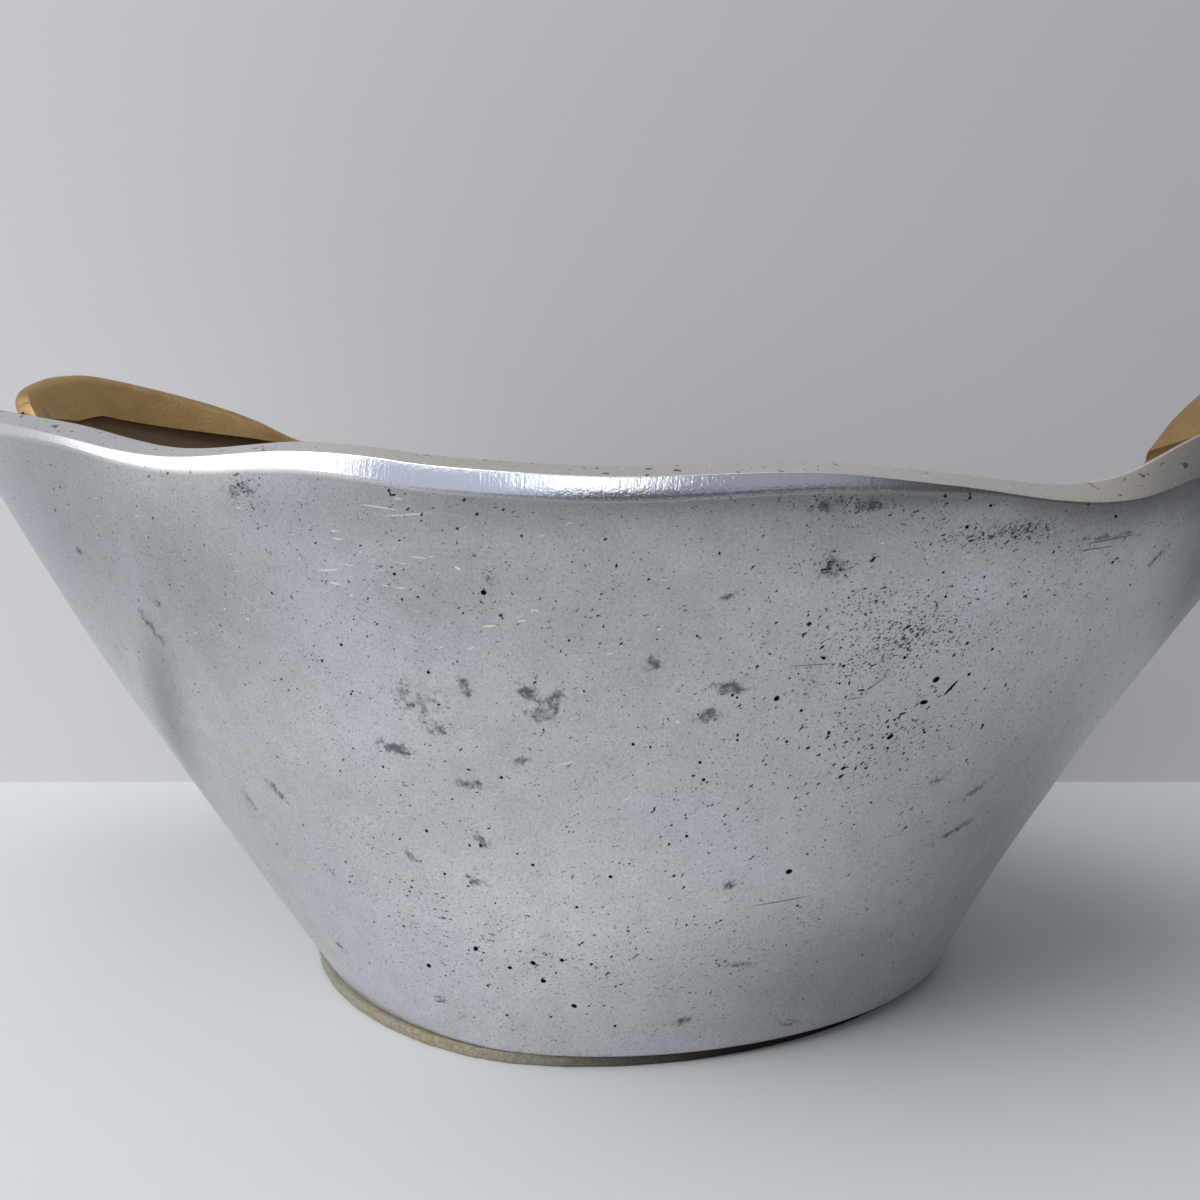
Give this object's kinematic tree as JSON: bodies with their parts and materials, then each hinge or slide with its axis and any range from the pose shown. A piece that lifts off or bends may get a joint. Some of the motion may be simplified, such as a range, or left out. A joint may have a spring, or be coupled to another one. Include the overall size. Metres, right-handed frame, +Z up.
{
  "type": "centrepiece bowl",
  "caption": "Oval flared bowl of sand-cast aluminium with a wavy rim, a riveted cast-brass handle at each end and a cork pad under its flat foot.",
  "frame": {"origin": "on the table under the middle of the foot, on the cork pad's lower face", "axes": "+Z up, +X along the bowl's length to its right-hand end, +Y from its front to its back"},
  "size_m": [0.3618, 0.2562, 0.1527],
  "materials": {
    "cast_aluminium": "sand-cast, ground and brushed to a satin grey, with open pits and stains",
    "cast_brass": "cast and half-polished, with a brown patina",
    "rivet_brass": "hand-set and polished",
    "cork": "raw cut cork sheet"
  },
  "bodies": {
    "root": {"bowl_body": "cast_aluminium", "left_handle": "cast_brass", "right_handle": "cast_brass", "left_rivet_1": "rivet_brass", "left_rivet_2": "rivet_brass", "left_rivet_3": "rivet_brass", "right_rivet_1": "rivet_brass", "right_rivet_2": "rivet_brass", "right_rivet_3": "rivet_brass", "base_pad": "cork"}
  },
  "joints": []
}
